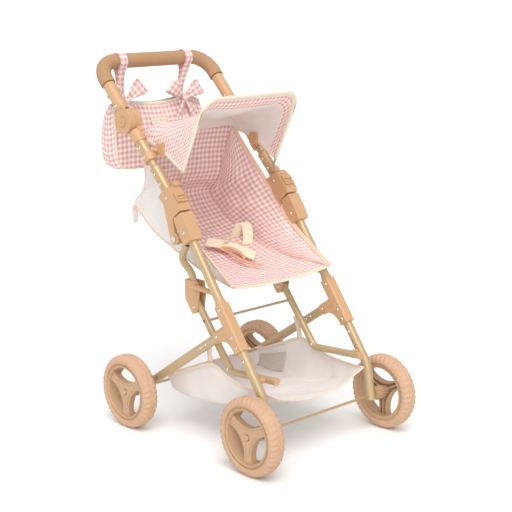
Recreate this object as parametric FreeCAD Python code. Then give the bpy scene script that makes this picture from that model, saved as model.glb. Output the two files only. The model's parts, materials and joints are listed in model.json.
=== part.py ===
"""Doll stroller: folding metal frame, four wheels, fabric seat, canopy, basket and handle bag.

Millimetres. Front faces -Y, up is +Z, and the origin is under the middle of the whole stroller.
Left and right are those of the child who pushes it, so left is +X.
Side-view places are (y, z) pairs measured from the middle of the wheelbase. export() moves
everything so that the origin ends up under the middle of the overall box.
"""

import FreeCAD
import Part
import math
import os

from FreeCAD import Vector

# Overall size
WHEEL_D = 115.0
WHEEL_W = 26.0
WHEELBASE = 278.0
TRACK = 279.0
HANDLE_LENGTH = 290.0      # from the fold seam to the handle bar
FRAME_X = 110.0            # side frames, from the centre plane
LINK_X = 88.0              # inner links
SEAT_X = 78.0              # half width of the seat pan
BACK_X = 90.0              # half width of the seat back

# Tubes and rods, outer diameters
LEG_D = 14.0
SIDE_D = 17.0
PLUG_D = 12.0
HANDLE_D = 15.0
GRIP_D = 23.0
BRACE_D = 11.0
AXLE_D = 4.0
ROD_D = 4.0
BOW_D = 3.6
WALL = 1.2
RIVET_D = 3.0
RIVET_HEAD_D = 5.6

# Side-view places
AXLE_FRONT = (-WHEELBASE / 2, WHEEL_D / 2)
AXLE_REAR = (WHEELBASE / 2, WHEEL_D / 2)
KINK = (39.0, 343.6)       # where leg line and upper line meet, at the fold seam
LEG_BEND = (-131.0, 104.0)
UPPER_ANGLE = math.radians(47.5)
HANDLE_BAR = (KINK[0] + HANDLE_LENGTH * math.cos(UPPER_ANGLE),
              KINK[1] + HANDLE_LENGTH * math.sin(UPPER_ANGLE))
FOLD_PIVOT = (43.0, 309.0)
BOW_PIVOT = (61.0, 386.0)
HUB_AT = 175.0             # stations along the upper line, from the seam
GRIP_FROM = 247.0

# Fits
RUNNING = 0.06             # radial clearance of a turning fit
GAP = 0.4                  # between faces that pass each other

BAG_DEPTH = 40.0           # the bag hangs centred under the handle bar, and is the rearmost thing
MIDDLE_Y = (HANDLE_BAR[0] + BAG_DEPTH / 2 - WHEELBASE / 2 - WHEEL_D / 2) / 2

parts = {}


# ---- small helpers -------------------------------------------------------------------------

def place(x, point):
    return Vector(x, point[0], point[1])


def along(start, direction, distance, offset=0.0):
    """The side-view point at a distance along a direction, and an offset to its left."""
    y = start[0] + direction[0] * distance - direction[1] * offset
    z = start[1] + direction[1] * distance + direction[0] * offset
    return (y, z)


def unit(start, end):
    length = math.dist(start, end)
    return ((end[0] - start[0]) / length, (end[1] - start[1]) / length)


LEG_DIR = unit(LEG_BEND, KINK)
UPPER_DIR = (math.cos(UPPER_ANGLE), math.sin(UPPER_ANGLE))


def leg(distance, offset=0.0):
    """A point of the front leg line: distance below the seam, offset to the front."""
    return along(KINK, LEG_DIR, -distance, offset)


def upper(distance, offset=0.0):
    """A point of the upper line: distance above the seam, offset to the front."""
    return along(KINK, UPPER_DIR, distance, offset)


def rod(a, b, diameter):
    """A solid rod between two 3-D points."""
    return Part.makeCylinder(diameter / 2, (b - a).Length, a, b - a)


def tube(a, b, diameter, bore):
    return rod(a, b, diameter).cut(rod(a, b, bore))


def across(x0, x1, point, diameter):
    """A rod parallel to X."""
    return rod(place(x0, point), place(x1, point), diameter)


def prism(outline, x0, x1):
    """A side-view outline, extruded from x0 to x1."""
    corners = [place(x0, point) for point in outline]
    face = Part.Face(Part.makePolygon(corners + corners[:1]))
    return face.extrude(Vector(x1 - x0, 0, 0))


def rounded_path(points, radii):
    """A wire of straight runs joined by tangent arcs, one radius for each inner point."""
    edges = []
    here = points[0]
    for before, corner, after, radius in zip(points, points[1:], points[2:], radii):
        back = (before - corner).normalize()
        on = (after - corner).normalize()
        half = back.getAngle(on) / 2
        reach = radius / math.tan(half)
        start = corner + back * reach
        end = corner + on * reach
        centre = corner + (back + on).normalize() * (radius / math.sin(half))
        middle = centre + (corner - centre).normalize() * radius
        edges.append(Part.LineSegment(here, start).toShape())
        edges.append(Part.Arc(start, middle, end).toShape())
        here = end
    edges.append(Part.LineSegment(here, points[-1]).toShape())
    return Part.Wire(edges)


def bent_rod(points, radii, diameter):
    """A round rod along a rounded path."""
    path = rounded_path(points, radii)
    normal = (points[1] - points[0]).normalize()
    section = Part.Wire(Part.Circle(points[0], normal, diameter / 2).toShape())
    return path.makePipeShell([section], True, True)


def bent_tube(points, radii, diameter):
    """A bent_rod with the common wall thickness and open ends."""
    return bent_rod(points, radii, diameter).cut(bent_rod(points, radii, diameter - 2 * WALL))


def rivet(point, x_middle, half):
    """A domed rivet parallel to X, through something 2 * half thick."""
    shank = across(x_middle - half, x_middle + half, point, RIVET_D)
    heads = []
    for way in (1, -1):
        face = x_middle + way * half
        ball = Part.makeSphere(RIVET_HEAD_D * 0.6, place(face - way * 1.9, point))
        keep = across(face, face + way * 3, point, RIVET_HEAD_D * 2)
        heads.append(ball.common(keep))
    return shank.fuse(heads).removeSplitter()


def mirror(shape):
    """The right-hand twin of a left-hand piece."""
    return shape.mirror(Vector(0, 0, 0), Vector(1, 0, 0))


def add_pair(node, left):
    parts[f"{node}_left"] = left
    parts[f"{node}_right"] = mirror(left)


def add_group(node, left_solids):
    parts[node] = Part.makeCompound(left_solids + [mirror(solid) for solid in left_solids])


# ---- wheels and axles ----------------------------------------------------------------------

RIM_R = 45.0
RIM_IN_R = 38.5
HUB_R = 9.0
HUB_INNER = 9.0            # the ribbed hub stands this far inboard of the tyre
SPOKES = 3
WINDOW_R = 39.6            # the arcs between the spokes, and how far out their centres are
WINDOW_AT = 54.1
SPOKE_T = 10.0
SPOKE_FACE_T = 2.5
SPOKE_WALL = 2.2
PANEL_REACH = 25.0
HUB_RIBS = 9
CAP_D = 8.0
TYRE_SHOULDER = 8.0
X_AXIS = Vector(1, 0, 0)


def make_tyre(axle):
    """A round-shouldered ring, built on the X axis."""
    half = WHEEL_W / 2
    outer = Part.makeCylinder(WHEEL_D / 2, WHEEL_W, Vector(-half, 0, 0), X_AXIS)
    edges = [e for e in outer.Edges if abs(abs(e.CenterOfMass.x) - half) < 0.01]
    outer = outer.makeFillet(TYRE_SHOULDER, edges)
    ring = outer.cut(Part.makeCylinder(RIM_R, WHEEL_W, Vector(-half, 0, 0), X_AXIS))
    ring.translate(place(TRACK / 2, axle))
    return ring


def around(count, shape):
    """Copies of a shape turned evenly about the X axis."""
    turned = []
    for n in range(count):
        copy = shape.copy()
        copy.rotate(Vector(0, 0, 0), X_AXIS, 360.0 / count * n)
        turned.append(copy)
    return turned


def spoke_star(x0, x1, radius, inset):
    """A disc less three round-edged windows, which leaves three broad curved spokes."""
    disc = Part.makeCylinder(radius, x1 - x0, Vector(x0, 0, 0), X_AXIS)
    window = Part.makeCylinder(WINDOW_R + inset, x1 - x0, Vector(x0, 0, WINDOW_AT), X_AXIS)
    return disc.cut(around(SPOKES, window))


def make_rim(axle):
    """Rim ring, three hollow-backed spokes with a raised panel, and a long ribbed hub inside."""
    half = WHEEL_W / 2 - 2.5
    inner_end = -WHEEL_W / 2 - HUB_INNER
    face = half - 2.0
    back = face - SPOKE_T
    ring = Part.makeCylinder(RIM_R, 2 * half, Vector(-half, 0, 0), X_AXIS)
    ring = ring.cut(Part.makeCylinder(RIM_IN_R, 2 * half, Vector(-half, 0, 0), X_AXIS))
    lip = Part.makeTorus(RIM_IN_R + 2.5, 1.6, Vector(half, 0, 0), X_AXIS)
    star = spoke_star(back, face, RIM_IN_R + 1, 0.0)
    hollow = spoke_star(back, face - SPOKE_FACE_T, RIM_IN_R - 1, SPOKE_WALL)
    panel = spoke_star(face - 1, face + 0.8, PANEL_REACH, 3.6)
    hub = Part.makeCylinder(HUB_R, face - inner_end, Vector(inner_end, 0, 0), X_AXIS)
    spine = Part.makeBox(SPOKE_T - 1, 2.0, RIM_IN_R, Vector(back, -1, -RIM_IN_R - 0.5))
    rib = Part.makeBox(HUB_INNER + 8, 2.0, 2.4, Vector(inner_end, -1, HUB_R - 1))
    solids = [lip, panel, hub] + around(SPOKES, spine) + around(HUB_RIBS, rib)
    body = ring.fuse(star.cut(hollow)).fuse(solids)
    bore = Part.makeCylinder(AXLE_D / 2 + RUNNING, 80, Vector(-40, 0, 0), X_AXIS)
    recess = Part.makeCylinder(CAP_D / 2 + 1, 4, Vector(face - 2.5, 0, 0), X_AXIS)
    body = body.cut(bore.fuse(recess)).removeSplitter()
    body.translate(place(TRACK / 2, axle))
    return body


def wheels_and_axles():
    caps = []
    axles = []
    reach = TRACK / 2 + WHEEL_W / 2 - 4
    for end, axle in (("front", AXLE_FRONT), ("rear", AXLE_REAR)):
        add_pair(f"tyre_{end}", make_tyre(axle))
        add_pair(f"rim_{end}", make_rim(axle))
        cap = across(reach - 2.1, reach + 1.5, axle, CAP_D)
        caps.append(cap.cut(across(reach - 2.1, reach, axle, AXLE_D)))
        axles.append(across(-reach, reach, axle, AXLE_D))
    parts["axles"] = Part.makeCompound(axles)
    add_group("axle_caps", caps)


# ---- base frame ----------------------------------------------------------------------------

LEG_TOP = 12.0             # stations down the leg line, from the seam
CONNECTOR = (147.0, 222.0)
LEG_JOINT = 186.0
BRANCH_AT = 184.0          # the rear leg's line leaves the leg line here
BRANCH_LENGTH = 36.0
SOCKET_D = 18.0
WEB_R = 22.0               # concave web under the branch

BRANCH_FROM = leg(BRANCH_AT)
REAR_DIR = unit(BRANCH_FROM, AXLE_REAR)


def rear(distance, offset=0.0):
    """A point of the rear leg line, from the leg line down to the rear axle."""
    return along(BRANCH_FROM, REAR_DIR, distance, offset)


LEG_RIVETS = [leg(28), leg(154), leg(198), leg(214), leg(236)]
REAR_RIVETS = [rear(30), rear(62), rear(74)]
BRACKET_RIVETS = [(36.0, 233.0), (34.0, 203.0)]


def shank_holes():
    """The holes that the rivets of one base side frame pass through."""
    holes = []
    for point in LEG_RIVETS + REAR_RIVETS:
        holes.append(across(FRAME_X - 20, FRAME_X + 20, point, RIVET_D))
    for point in BRACKET_RIVETS + [LINK_RIVET]:
        holes.append(across(LINK_X - 12, LINK_X + 12, point, RIVET_D))
    return holes


def front_leg_upper():
    a = place(FRAME_X, leg(LEG_TOP))
    b = place(FRAME_X, leg(LEG_JOINT - 0.5))
    body = tube(a, b, LEG_D, LEG_D - 2 * WALL)
    return body.cut(shank_holes())


def front_leg_lower():
    x = FRAME_X
    points = [place(x, leg(LEG_JOINT)), place(x, LEG_BEND), place(x, along(AXLE_FRONT, (0, 1), -7))]
    body = bent_tube(points, [30.0], LEG_D)
    cuts = shank_holes() + [across(x - 20, x + 20, AXLE_FRONT, AXLE_D)]
    return body.cut(cuts)


def rear_leg():
    a = place(FRAME_X, rear(LEG_D / 2 + 3))
    b = place(FRAME_X, along(AXLE_REAR, REAR_DIR, 8))
    body = tube(a, b, LEG_D, LEG_D - 2 * WALL)
    cuts = shank_holes()
    cuts.append(across(FRAME_X - 20, FRAME_X + 20, AXLE_REAR, AXLE_D))
    cuts.append(across(FRAME_X - 20, FRAME_X + 20, BASKET_ROD, ROD_D))
    return body.cut(cuts)


def t_connector():
    """Moulded three-socket connector of front leg, lower leg and rear leg, with a concave web."""
    x = FRAME_X
    half = SOCKET_D / 2
    top, low = CONNECTOR
    main = prism([leg(top, half), leg(low, half), leg(low, -half), leg(top, -half)],
                 x - half, x + half)
    main = main.makeFillet(3.5, [e for e in main.Edges if e.Length > 30])
    branch = rod(place(x, rear(0)), place(x, rear(BRANCH_LENGTH)), SOCKET_D)
    neck = rod(place(x, leg(top - 5)), place(x, leg(top)), LEG_D + 2.4)
    down = along((0, 0), LEG_DIR, -1)
    way = unit((0, 0), (down[0] + REAR_DIR[0], down[1] + REAR_DIR[1]))
    half_angle = math.acos(way[0] * down[0] + way[1] * down[1])
    reach = (half + WEB_R) / math.sin(half_angle)
    run = reach * math.cos(half_angle)
    web = prism([BRANCH_FROM, leg(BRANCH_AT + run), leg(BRANCH_AT + run, -half),
                 rear(run, -half), rear(run)], x - half + 1.5, x + half - 1.5)
    web = web.cut(across(x - 20, x + 20, along(BRANCH_FROM, way, reach), 2 * WEB_R))
    body = main.fuse([branch, neck, web])
    sockets = [rod(place(x, leg(top - 6)), place(x, leg(LEG_JOINT)), LEG_D),
               rod(place(x, leg(LEG_JOINT)), place(x, leg(low + 1)), LEG_D),
               rod(place(x, rear(LEG_D / 2 + 3)), place(x, rear(BRANCH_LENGTH + 1)), LEG_D)]
    return body.cut(sockets + shank_holes()).removeSplitter()


BASKET_ROD = along(AXLE_REAR, REAR_DIR, -45)
CROSS_ROD = (15.0, 183.0)
BRACKET = [(52.0, 243.0), (24.0, 243.0), (20.0, 226.0), (26.0, 195.0), (36.0, 192.0), (52.0, 213.0)]
BRACKET_W = 15.0
LINK_TOP = (37.0, 216.0)
LINK_BEND = (-40.0, 118.0)
LINK_END = (-134.0, 124.0)
LINK_RIVET = (-37.0, 122.0)
LINK_RUN = unit(LINK_BEND, LINK_END)
LEG_SPACER = leg(268.0)
STAY = ((27.0, 236.0), leg(131.0))


def brace_tube():
    """Curved tube from the lower hinge housing in and down to the bracket."""
    points = [Vector(FRAME_X, 28, 302), Vector(FRAME_X - 4, 47, 276), Vector(LINK_X, 44, 253),
              Vector(LINK_X, 37, 226)]
    return bent_tube(points, [25.0, 30.0], BRACE_D).cut(shank_holes())


def brace_bracket():
    """Folded clevis, open to the front, that joins the curved tube to the link."""
    x0 = LINK_X - BRACKET_W / 2
    outer = prism(BRACKET, x0, x0 + BRACKET_W)
    slot = [(49.0, 244.0), (49.0, 214.0), (30.0, 186.0), (0.0, 180.0), (0.0, 244.0)]
    inside = prism(slot, x0 + 2, x0 + BRACKET_W - 2)
    return outer.cut([inside] + shank_holes())


def link_tube():
    """L-shaped tube from the bracket down inside the legs and forward along the basket."""
    x = LINK_X
    points = [place(x, LINK_TOP), place(x, LINK_BEND), place(x, LINK_END)]
    body = bent_tube(points, [14.0], BRACE_D)
    cuts = shank_holes() + [across(x - 12, x + 12, CROSS_ROD_SEAT, ROD_D)]
    return body.cut(cuts)


LINK_DIR = unit(LINK_TOP, LINK_BEND)
CROSS_ROD_SEAT = along(LINK_TOP, LINK_DIR, 40.0)


def link_spacers():
    """The stay from bracket to leg, and the spacer from link to leg."""
    gap_in = LINK_X + BRACE_D / 2
    gap_out = FRAME_X - LEG_D / 2
    spacer_at = along(LINK_BEND, LINK_RUN, 75.0)
    spacer = across(gap_in, gap_out, spacer_at, 9.0)
    a = Vector(LINK_X + BRACKET_W / 2 + 4.2, STAY[0][0], STAY[0][1])
    b = Vector(FRAME_X - 4, STAY[1][0], STAY[1][1])
    stay = rod(a, b, 8.0)
    leg_rod = rod(place(FRAME_X, leg(90)), place(FRAME_X, leg(140)), LEG_D)
    return [spacer, stay.cut(leg_rod)]


def link_cap():
    """Plug in the forward end of the link."""
    a = place(LINK_X, LINK_END)
    b = place(LINK_X, along(LINK_END, LINK_RUN, 3.0))
    return rod(a, b, BRACE_D + 1)


def cross_rods():
    seat_rod = across(-LINK_X, LINK_X, CROSS_ROD_SEAT, ROD_D)
    basket_rod = across(-FRAME_X, FRAME_X, BASKET_ROD, ROD_D)
    return Part.makeCompound([seat_rod, basket_rod])


def base_rivets():
    halves = [HOUSING_W / 2] + [SOCKET_D / 2] * 3 + [LEG_D / 2]
    solids = [rivet(point, FRAME_X, half) for point, half in zip(LEG_RIVETS, halves)]
    halves = [SOCKET_D / 2, LEG_D / 2, LEG_D / 2]
    solids += [rivet(point, FRAME_X, half) for point, half in zip(REAR_RIVETS, halves)]
    solids += [rivet(point, LINK_X, BRACKET_W / 2) for point in BRACKET_RIVETS]
    return solids + [rivet(LINK_RIVET, LINK_X, BRACE_D / 2)]


# ---- fold hinge ----------------------------------------------------------------------------

HOUSING_W = 23.0
LUG_W = 11.0
KNUCKLE_R = 9.0
PIN_D = 5.0
SEAM = 0.8                 # half the gap between the two housings
HOUSING_TOP = 44.0
LATCH_TRAVEL = 6.0
UPPER_RIVETS = [upper(33, 0), upper(58), upper(76), upper(108), upper(126), upper(206)]


def upper_holes(points):
    return [across(FRAME_X - 20, FRAME_X + 20, p, RIVET_D) for p in points]


def knuckle(x0, x1, radius):
    return across(x0, x1, FOLD_PIVOT, 2 * radius)


def lower_hinge():
    """Housing on the leg's top end, with a middle lug that carries the pivot pin."""
    x = FRAME_X
    half = HOUSING_W / 2
    outline = [leg(SEAM, 13), leg(SEAM, -6), leg(14, -9), leg(30, -10), leg(44, -9), leg(44, 10),
               leg(30, 12)]
    body = prism(outline, x - half, x + half)
    lug = prism([leg(14, -4), FOLD_PIVOT, leg(40, -4)], x - LUG_W / 2, x + LUG_W / 2)
    lug = lug.fuse(knuckle(x - LUG_W / 2, x + LUG_W / 2, KNUCKLE_R - 1))
    room = knuckle(x - half - 1, x - LUG_W / 2, KNUCKLE_R + GAP)
    room = room.fuse(knuckle(x + LUG_W / 2, x + half + 1, KNUCKLE_R + GAP))
    body = body.cut(room).fuse(lug)
    socket = rod(place(x, leg(LEG_TOP)), place(x, leg(60)), LEG_D)
    pin = across(x - half - 5, x + half + 5, FOLD_PIVOT, PIN_D)
    return body.cut([socket, brace_tube(), pin] + shank_holes()).removeSplitter()


def upper_hinge():
    """Housing on the side tube, with two cheeks that reach down to the pivot pin."""
    x = FRAME_X
    half = HOUSING_W / 2
    outline = [upper(SEAM, 13), upper(SEAM, -8), upper(HOUSING_TOP, -12), upper(HOUSING_TOP, 12),
               upper(36, 15), upper(8, 16)]
    body = prism(outline, x - half, x + half)
    tail = prism([upper(6, -4), upper(30, -10), along(FOLD_PIVOT, (1, 0), 8.4),
                  along(FOLD_PIVOT, (1, 0), -2), leg(6, -11)], x - half, x + half)
    tail = tail.fuse(knuckle(x - half, x + half, KNUCKLE_R))
    slot = across(x - LUG_W / 2 - GAP, x + LUG_W / 2 + GAP, FOLD_PIVOT, 2 * (KNUCKLE_R + 9))
    low = prism([leg(-1, 20), leg(-1, -8.6), leg(30, -11), leg(60, -11), leg(60, 20)],
                x - half - 1, x + half + 1)
    body = body.fuse(tail.cut(low)).cut(slot)
    socket = rod(place(x, upper(10)), place(x, upper(90)), SIDE_D)
    pin = across(x - half - 5, x + half + 5, FOLD_PIVOT, PIN_D + 2 * RUNNING)
    spring = rod(place(x, upper(14, 12.5)), place(x, upper(30, 12.5)), 5.0)
    holes = upper_holes(UPPER_RIVETS)
    return body.cut([socket, pin, spring] + holes).removeSplitter()


def hinge_pin():
    x = FRAME_X
    half = HOUSING_W / 2
    body = across(x - half, x + half, FOLD_PIVOT, PIN_D)
    heads = []
    for face, way in ((x - half - 0.3, -1), (x + half + 0.3, 1)):
        heads.append(across(face - way * 0.3, face + way * 1.5, FOLD_PIVOT, PIN_D + 0))
        heads.append(across(face, face + way * 1.5, FOLD_PIVOT, PIN_D + 4))
    return body.fuse(heads).removeSplitter()


def fold_latch():
    """Ridged slider on the front of the upper housing. It slides up to free the fold."""
    x = FRAME_X
    width = 18.0
    face = 16.2
    plate = prism([upper(13, face), upper(29, face), upper(29, face + 3), upper(13, face + 3)],
                  x - width / 2, x + width / 2)
    for station in (17.0, 22.0):
        ridge = prism([upper(station, face + 3), upper(station + 2, face + 3),
                       upper(station + 2, face + 4.6), upper(station, face + 4.6)],
                      x - width / 2 + 2, x + width / 2 - 2)
        plate = plate.fuse(ridge)
    return plate.removeSplitter()


def latch_spring():
    """Return spring of the latch, a plain cylinder in its pocket."""
    x = FRAME_X
    return rod(place(x, upper(15, 12.5)), place(x, upper(29, 12.5)), 4.0)


# ---- upper side frame ----------------------------------------------------------------------

SWAGE_AT = 86.0
COLLAR = (99.0, 112.0)
COLLAR_D = SIDE_D + 3
CLIP_AT = (99.0, 434.0)
CLIP_SIZE = (10.0, 16.0, 17.0)


def side_tube():
    """Lower side tube, swaged down at its top so that the upper tube plugs on."""
    x = FRAME_X
    wide = rod(place(x, upper(10)), place(x, upper(SWAGE_AT)), SIDE_D)
    cone = Part.makeCone(SIDE_D / 2, PLUG_D / 2, 3, place(x, upper(SWAGE_AT)),
                         Vector(0, *UPPER_DIR))
    plug = rod(place(x, upper(SWAGE_AT + 3)), place(x, upper(136)), PLUG_D)
    body = wide.fuse([cone, plug])
    bore = rod(place(x, upper(9)), place(x, upper(137)), PLUG_D - 2 * WALL)
    return body.cut([bore] + upper_holes(UPPER_RIVETS[:5])).removeSplitter()


def lock_collar():
    """Plastic collar between plug and upper tube."""
    x = FRAME_X
    body = rod(place(x, upper(COLLAR[0])), place(x, upper(COLLAR[1])), COLLAR_D)
    lip = rod(place(x, upper(COLLAR[1])), place(x, upper(COLLAR[1] + 20)), SIDE_D - 2 * WALL)
    body = body.fuse(lip).cut(rod(place(x, upper(90)), place(x, upper(140)), PLUG_D))
    return body.cut(upper_holes(UPPER_RIVETS[3:5])).removeSplitter()


def upper_side_tube():
    a = place(FRAME_X, upper(COLLAR[1]))
    b = place(FRAME_X, upper(HUB_AT - HUB_REACH - 2))
    return tube(a, b, SIDE_D, SIDE_D - 2 * WALL).cut(upper_holes(UPPER_RIVETS[4:5]))


def canopy_clip():
    """Clip block that holds the canopy's rear hem, with a short arm from the side tube."""
    inner = FRAME_X - SIDE_D / 2 - 1.5
    width, depth, height = CLIP_SIZE
    block = Part.makeBox(width, depth, height,
                         Vector(inner - width, CLIP_AT[0] - depth / 2, CLIP_AT[1] - height / 2))
    arm = rod(Vector(inner - 2, CLIP_AT[0] + 4, CLIP_AT[1] - 2), place(FRAME_X - 4, upper(120, 1)), 7.0)
    tube_room = rod(place(FRAME_X, upper(COLLAR[0])), place(FRAME_X, upper(HUB_AT)), SIDE_D)
    collar_room = rod(place(FRAME_X, upper(COLLAR[0])), place(FRAME_X, upper(COLLAR[1])), COLLAR_D)
    return block.fuse(arm.cut([tube_room, collar_room])).removeSplitter()


# ---- handle hub ----------------------------------------------------------------------------

HUB_DISC_R = 19.0
HUB_REACH = 20.0           # from the hub's centre to the sleeves
HUB_END = 40.0
HUB_SPLIT = FRAME_X + 1.0
HUB_IN = FRAME_X - 10.0
HUB_OUT = FRAME_X + 13.0
HUB_PIN_D = 8.0
HUB_SOCKET_D = HANDLE_D + 4
BUTTON_D = 15.0
BUTTON_TRAVEL = 2.0


def hub_arm(x0, x1, way):
    """A flat arm from the hub's centre to the sleeve above it (way 1) or below it (way -1)."""
    end = HUB_AT + way * (HUB_REACH + 4)
    outline = [upper(HUB_AT, 9), upper(end, 9), upper(end, -9), upper(HUB_AT, -9)]
    return prism(outline, x0, x1)


def hub_sleeve(diameter, bore, way):
    """The sleeve for a tube, HUB_REACH from the hub's centre. The upper one runs to the foam."""
    mouth = place(FRAME_X, upper(GRIP_FROM - 1.5 if way > 0 else HUB_AT - HUB_END))
    step = place(FRAME_X, upper(HUB_AT + way * (HUB_REACH + 2)))
    end = place(FRAME_X, upper(HUB_AT + way * HUB_REACH))
    return rod(mouth, end, diameter), rod(mouth, step, bore)


def hub_lower():
    """Inner half of the handle joint, with the sleeve for the upper side tube and the pin."""
    face = HUB_SPLIT - 0.2
    disc = across(HUB_IN, face, upper(HUB_AT), 2 * HUB_DISC_R)
    sleeve, room = hub_sleeve(SIDE_D + 3, SIDE_D, -1)
    pin = across(HUB_IN, HUB_OUT - 6.5, upper(HUB_AT), HUB_PIN_D)
    return disc.fuse([hub_arm(HUB_IN + 1, face - 0.5, -1), sleeve]).cut(room).fuse(pin)


def hub_upper():
    """Outer half of the handle joint, with the socket for the handle tube."""
    face = HUB_SPLIT + 0.2
    disc = across(face, HUB_OUT, upper(HUB_AT), 2 * HUB_DISC_R)
    socket, room = hub_sleeve(HUB_SOCKET_D, HANDLE_D, 1)
    bore = across(80, 140, upper(HUB_AT), HUB_PIN_D + 2 * RUNNING)
    pocket = across(HUB_OUT - 5.5, 140, upper(HUB_AT), BUTTON_D + 0.6)
    body = disc.fuse([hub_arm(face + 0.5, HUB_OUT - 4, 1), socket])
    return body.cut([bore, pocket, room] + upper_holes(UPPER_RIVETS[5:]))


def hub_button():
    """Round push button with a crescent-shaped finger hollow."""
    face = HUB_OUT + 1.2
    body = across(face - 3.2, face, upper(HUB_AT), BUTTON_D)
    hollow = across(face - 0.8, face + 1, upper(HUB_AT + 4), 11.0)
    return body.cut(hollow)


def button_spring():
    """Return spring under the button, a plain ring in its pocket."""
    return across(HUB_OUT - 5.4, HUB_OUT - 4.4, upper(HUB_AT), 12.0).cut(
        across(90, 140, upper(HUB_AT), HUB_PIN_D + 1))


# ---- handle --------------------------------------------------------------------------------

HANDLE_R = 34.0


def handle_points(station):
    return [place(FRAME_X, upper(station)), place(FRAME_X, HANDLE_BAR),
            place(-FRAME_X, HANDLE_BAR), place(-FRAME_X, upper(station))]


def handle_tube():
    left = upper_holes(UPPER_RIVETS[5:])
    body = bent_tube(handle_points(HUB_AT + HUB_REACH + 2), [HANDLE_R, HANDLE_R], HANDLE_D)
    return body.cut(left + [mirror(hole) for hole in left])


def foam_grip():
    points = handle_points(GRIP_FROM)
    radii = [HANDLE_R, HANDLE_R]
    return bent_rod(points, radii, GRIP_D).cut(bent_rod(points, radii, HANDLE_D))


def upper_rivets():
    halves = [HOUSING_W / 2, SIDE_D / 2, SIDE_D / 2, COLLAR_D / 2, SIDE_D / 2]
    return [rivet(point, FRAME_X, half) for point, half in zip(UPPER_RIVETS, halves)]


def handle_rivets():
    return [rivet(UPPER_RIVETS[5], FRAME_X, HUB_SOCKET_D / 2)]


# ---- canopy --------------------------------------------------------------------------------

BOW_X = 95.0
BOW_RISE = 141.0           # from the pivot to the front bar of the bow
BOW_ANGLE = 116.5          # of the bow at rest, from +Y
BOW_CORNER_R = 26.0
BOW_STUB_D = 3.0
HOOD_T = 1.5
HOOD_INNER_R = 78.0


def bow_point(radius, angle):
    turn = math.radians(angle)
    return (BOW_PIVOT[0] + radius * math.cos(turn), BOW_PIVOT[1] + radius * math.sin(turn))


def canopy_bow():
    """U-shaped wire with a stub at each end that turns in the pivot boss."""
    top = bow_point(BOW_RISE, BOW_ANGLE)
    points = [place(BOW_X, BOW_PIVOT), place(BOW_X, top),
              place(-BOW_X, top), place(-BOW_X, BOW_PIVOT)]
    wire = bent_rod(points, [BOW_CORNER_R, BOW_CORNER_R], BOW_D)
    eye = across(BOW_X - 2.5, BOW_X + 2.4, BOW_PIVOT, 8.0)
    stub = across(BOW_X + 2.4, FRAME_X - SIDE_D / 2 - 0.5, BOW_PIVOT, BOW_STUB_D)
    return wire.fuse([eye, stub, mirror(eye), mirror(stub)]).removeSplitter()


def bow_boss():
    """Boss on the side tube that the bow's end turns in."""
    outer = FRAME_X - 2
    boss = across(BOW_X + 2.8, outer, BOW_PIVOT, 10.0)
    x = FRAME_X
    core = rod(place(x, upper(0)), place(x, upper(SWAGE_AT)), SIDE_D)
    bore = across(80, FRAME_X - SIDE_D / 2 + 0.5, BOW_PIVOT, BOW_STUB_D + 2 * RUNNING)
    return boss.cut([core, bore, upper_hinge()])


def hood(radius, half_width, from_angle, to_angle):
    """A fabric hood panel: a curved top band and two side walls."""
    outer = across(-half_width, half_width, BOW_PIVOT, 2 * radius)
    top = outer.cut(across(-half_width, half_width, BOW_PIVOT, 2 * (radius - HOOD_T)))
    wall = across(half_width - HOOD_T, half_width, BOW_PIVOT, 2 * radius)
    wall = wall.cut(across(0, 2 * half_width, BOW_PIVOT, 2 * HOOD_INNER_R))
    steps = [from_angle, (from_angle + to_angle) / 2, to_angle]
    sector = [BOW_PIVOT] + [bow_point(2 * radius, angle) for angle in steps]
    wedge = prism(sector, -half_width - 1, half_width + 1)
    return top.fuse([wall, mirror(wall)]).common(wedge).removeSplitter()


# ---- seat, harness, basket and bag ---------------------------------------------------------

FABRIC = 2.5
SEAT_TOP = (152.0, 448.0)
SEAT_CREASE = (185.0, 338.0)
SEAT_HEEL = (150.0, 291.0)
SEAT_REAR = (64.0, 256.0)
SEAT_MIDDLE = (-14.0, 251.0)
SEAT_FRONT = (-57.0, 246.0)
WALL_CORNER = (66.0, 350.0)


def strip(points, half_width):
    """A fabric strip that follows side-view points, with its thickness below the path."""
    pieces = []
    for a, b in zip(points, points[1:]):
        way = unit(a, b)
        outline = [a, b, along(b, way, 0, FABRIC), along(a, way, 0, FABRIC)]
        pieces.append(prism(outline, -half_width, half_width))
        pieces.append(across(-half_width, half_width, b, 0.8 * FABRIC))
    return pieces[0].fuse(pieces[1:]).removeSplitter()


def seat_sling():
    """Seat back, heel and rear of the pan, with side walls up to the side tubes."""
    back = strip([SEAT_TOP, SEAT_CREASE], BACK_X)
    pan = strip([SEAT_CREASE, SEAT_HEEL, SEAT_REAR, SEAT_MIDDLE], SEAT_X)
    pan_side = [SEAT_CREASE, SEAT_HEEL, SEAT_REAR, SEAT_MIDDLE, (-6, 268), WALL_CORNER]
    back_side = [SEAT_CREASE, SEAT_TOP, WALL_CORNER, (96, 338)]
    step = [SEAT_CREASE, WALL_CORNER, (66, 340), (96, 333), (182, 333)]
    walls = [prism(pan_side, SEAT_X - FABRIC, SEAT_X),
             prism(back_side, BACK_X - FABRIC, BACK_X),
             prism(step, SEAT_X - FABRIC, BACK_X)]
    return back.fuse([pan] + walls + [mirror(wall) for wall in walls]).removeSplitter()


def seat_front():
    """Front of the seat pan, held by the front legs, with low side lips."""
    pan = strip([(-19.0, 251.0), SEAT_FRONT], SEAT_X)
    lip = prism([(-34, 249), SEAT_FRONT, (-53, 262), (-40, 262)], SEAT_X - FABRIC, SEAT_X)
    tie = prism([(-52, 252), (-57, 252), (-57, 262), (-52, 262)], SEAT_X, FRAME_X - LEG_D / 2 - 1)
    return pan.fuse([lip, tie, mirror(lip), mirror(tie)]).removeSplitter()


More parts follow.
